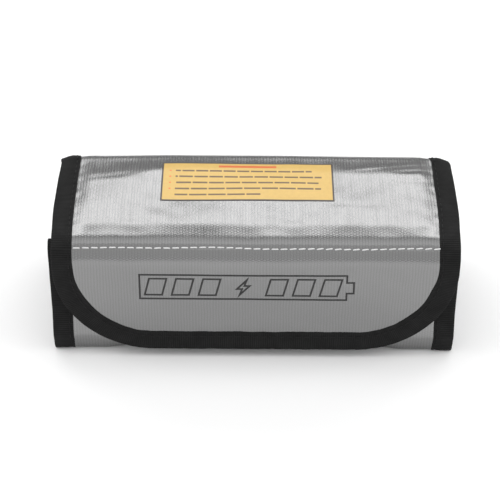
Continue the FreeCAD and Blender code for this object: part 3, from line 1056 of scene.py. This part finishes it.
def pale_floor():
    shader = Shader("pale_floor", Roughness=0.9, Specular_IOR_Level=0.1)
    shader.put(shader.surface.inputs["Base Color"], (*grey(0.94), 1))
    return shader.material


# -------- the pouch


LOOKS = {
    "silver_cloth": silver_cloth(),
    "binding_tape": binding_tape(),
    "lining_cloth": lining_cloth(),
    "glass_felt": glass_felt(),
    "white_thread": thread("white_thread", 0.5, 0.82, 0.45),
    "black_thread": thread("black_thread", 0.004, 0.012, 0.65),
    "loop_tape": black_pile("loop_tape", 0.03, 0.6),
    "hook_tape": black_pile("hook_tape", 0.045, 0.35),
    "black_ink": black_ink(),
    "label_film": label_film(),
}


def finish_piece(obj, slot, body, *nodes, look=None):
    """Gives a piece its material, in place of its CAD nodes, which it hides. A pouch piece is put on its
    body; a lid or flap piece only has its placement baked into its mesh.

    Its material is the slot's own, or the one that look names.
    """
    obj.data.materials.clear()
    obj.data.materials.append(LOOKS[look or slot])
    if body == "lid":
        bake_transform(obj)
    elif body == "flap":
        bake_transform(obj)
    else:
        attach(obj, body)
    if nodes:
        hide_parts(*nodes)


STRETCHES = {
    "pouch": (EDGE_COVER, S_SPLIT),
    "lid": (S_SPLIT, S_CREASE),
    "flap": (S_CREASE, S_FOOT),
}


def wall_layers(body):
    """The cloth, felt and lining of one stretch of the strip."""
    start, end = STRETCHES[body]
    for layer, inset, outer, inner, slot in (
        ("shell", EDGE_INSET, cloth_outer, cloth_inner, "silver_cloth"),
        ("felt", BINDING + FELT_EDGE, cloth_inner, felt_inner, "glass_felt"),
        ("lining", EDGE_INSET, felt_inner, lining_inner, "lining_cloth"),
    ):
        name = f"{body}_{layer}"
        fin = FIN_TOP + EDGE_INSET if body == "pouch" and layer == "shell" else 0.0
        obj = strip_layer(name + "_cloth", start, end, inset, outer, inner, fin)
        finish_piece(obj, slot, body, name)


def sewn_tape(tape, stitching, body, edge):
    """A binding and its row of stitches, in place of the CAD pair of one edge."""
    finish_piece(tape, "binding_tape", body, f"{edge}_binding")
    finish_piece(stitching, "black_thread", body, f"{edge}_stitching")


def main_bindings():
    for name, side, seed in (("left", -1, 1), ("right", 1, 2)):
        tape = side_tape(f"{name}_end_tape", side, -FIN_TOP, S_SPLIT, seed)
        seam = end_stitches(f"{name}_end_seam", side)
        sewn_tape(tape, seam, "pouch", f"{name}_end")
        tape = side_tape(f"{name}_lid_tape", side, S_SPLIT, S_CREASE, seed + 2)
        x = side * (HALF - SEAM_INSET)
        seam = straight_stitches(f"{name}_lid_seam", (x, S_SPLIT), (x, S_CREASE - 1 * MM), **OUTER_SEAM)
        sewn_tape(tape, seam, "lid", f"lid_{name}")
    sewn_tape(flap_tape("flap_tape", 6), flap_stitches("flap_seam"), "flap", "flap")


def mouth_bindings():
    tape = mouth_tape("front_mouth_tape", 7)
    x, s = FIELD - 4 * MM, MOUTH_BINDING - SEAM_EDGE
    seam = straight_stitches("front_mouth_seam", (-x, s), (x, s), **OUTER_SEAM)
    sewn_tape(tape, seam, "pouch", "front_mouth")


def end_panels():
    for name, side, seed in (("left", -1, 12), ("right", 1, 13)):
        shell = end_shell(f"{name}_end_shell_cloth", side)
        finish_piece(shell, "silver_cloth", "pouch", f"{name}_end_shell")
        under_cloth = END_CLOTH + 0.02 * MM
        felt = end_layer(f"{name}_end_felt_cloth", side, under_cloth, END_CLOTH + FELT)
        finish_piece(felt, "glass_felt", "pouch", f"{name}_end_felt")
        lining = end_layer(f"{name}_end_lining_cloth", side, END_CLOTH + FELT, END_CLOTH + FELT + LINING)
        finish_piece(lining, "lining_cloth", "pouch", f"{name}_end_lining")
        tape = rim_tape(f"{name}_mouth_tape", side, seed)
        finish_piece(tape, "binding_tape", "pouch", f"{name}_mouth_binding")


def fastener(name, body, s_middle, surface, face, looped, pitch):
    """Hook or loop tape sewn on the wall, its pile facing out (-1) or in (1)."""
    low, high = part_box(f"{name}_strip")
    x_half, s_half = (high.x - low.x) / 2, (high.z - low.z) / 2
    top, tip = surface + face * TAPE_BASE, surface + face * (high.y - low.y)
    x, s = np.meshgrid(spaced(-x_half, x_half), spaced(s_middle - s_half, s_middle + s_half))
    base = slab(f"{name}_strip_base", wall(x, s, top), wall(x, s, surface), place_vectors(x, s))
    x_pile, s_pile = x_half - SELVEDGE, s_half - SELVEDGE
    tufts = pile(f"{name}_pile", s_middle, x_pile, s_pile, top, tip, face, looped, pitch)
    x_seam, s_seam = x_half - SELVEDGE / 2, s_half - SELVEDGE / 2
    corners = [(x_seam * a, s_middle + s_seam * b) for a, b in ((-1, -1), (1, -1), (1, 1), (-1, 1))]
    rows = [row_places(a, b) for a, b in zip(corners, corners[1:] + corners[:1])]
    seam = stitches(f"{name}_seam", *gathered(rows), base=top, face=face, radius=0.2 * MM)
    finish_piece(base, f"{name}_tape", body, f"{name}_strip")
    finish_piece(tufts, f"{name}_tape", body)
    finish_piece(seam, "black_thread", body, f"{name}_stitching")


def fasteners():
    low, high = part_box("loop_strip")
    fastener("loop", "pouch", MOUTH - (low.z + high.z) / 2, 0.0, -1, True, 0.9 * MM)
    low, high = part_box("hook_strip")
    s_middle = S_FLAP + TOP - FRONT_RADIUS - (low.z + high.z) / 2
    fastener("hook", "flap", s_middle, WALL, 1, False, 1.3 * MM)


def markings():
    label = label_piece("label_film")
    finish_piece(label, "label_film", "lid", "label")
    finish_piece(print_piece("flap_mark"), "black_thread", "flap", look="black_ink")
    finish_piece(crease_stitches("crease_seam"), "white_thread", "lid", "crease_stitching")


# -------- the studio


def floor_plane():
    bpy.ops.mesh.primitive_plane_add(size=8)
    floor = bpy.context.object
    floor.name = "floor"
    floor.data.materials.append(pale_floor())


def softbox(name, place, aim, size, radiance):
    """A large rectangular light with a given brightness."""
    data = bpy.data.lights.new(name, "AREA")
    data.shape, data.size, data.size_y = "RECTANGLE", *size
    data.energy = radiance * math.pi * size[0] * size[1]
    light = placed(name, data)
    light.location = place
    light.rotation_euler = (Vector(place) - Vector(aim)).to_track_quat("Z", "Y").to_euler()


def room():
    """The light from the room itself, a little brighter in front than behind."""
    world = bpy.data.worlds.new("room")
    world.use_nodes = True
    nodes, link = world.node_tree.nodes, world.node_tree.links.new
    direction, split = nodes.new("ShaderNodeTexCoord"), nodes.new("ShaderNodeSeparateXYZ")
    fade = nodes.new("ShaderNodeMapRange")
    for socket, value in {1: -0.3, 2: 0.5, 3: 0.86, 4: 0.47}.items():
        fade.inputs[socket].default_value = value
    link(direction.outputs["Generated"], split.inputs[0])
    link(split.outputs[1], fade.inputs["Value"])
    link(fade.outputs[0], nodes["Background"].inputs["Color"])
    return world


def studio():
    floor_plane()
    softbox("back_box", (0, 0.82, 0.78), (0, 0, 0.06), (2.6, 0.34), 2.7)
    softbox("top_box", (0, 0.12, 1.3), (0, 0, 0.06), (2.0, 0.95), 0.5)
    for name, side in (("left_box", -1), ("right_box", 1)):
        softbox(name, (side * 1.3, -0.1, 0.9), (0, 0, 0.03), (0.8, 1.3), 2.3)
    scene = bpy.context.scene
    scene.world = room()
    scene.view_settings.view_transform = "Standard"


def camera():
    """The camera, aimed at the white topstitching from above the front."""
    aim = Vector((-1.9 * MM, FLAP_FRONT + 2.9 * MM, TOP - 2.9 * MM))
    elevation, distance, roll = math.radians(37.5), 0.762, math.radians(0.4)
    data = bpy.data.cameras.new("camera")
    data.lens, data.sensor_width = 123.4, 36
    data.clip_start = 0.01
    obj = placed("camera", data)
    back = Vector((0, -math.cos(elevation), math.sin(elevation)))
    turn_up = Matrix.Rotation(math.pi / 2 - elevation, 4, "X") @ Matrix.Rotation(roll, 4, "Z")
    obj.matrix_world = Matrix.Translation(aim + distance * back) @ turn_up
    bpy.context.scene.camera = obj


for stretch in STRETCHES:
    wall_layers(stretch)
end_panels()
main_bindings()
mouth_bindings()
fasteners()
markings()
studio()
camera()
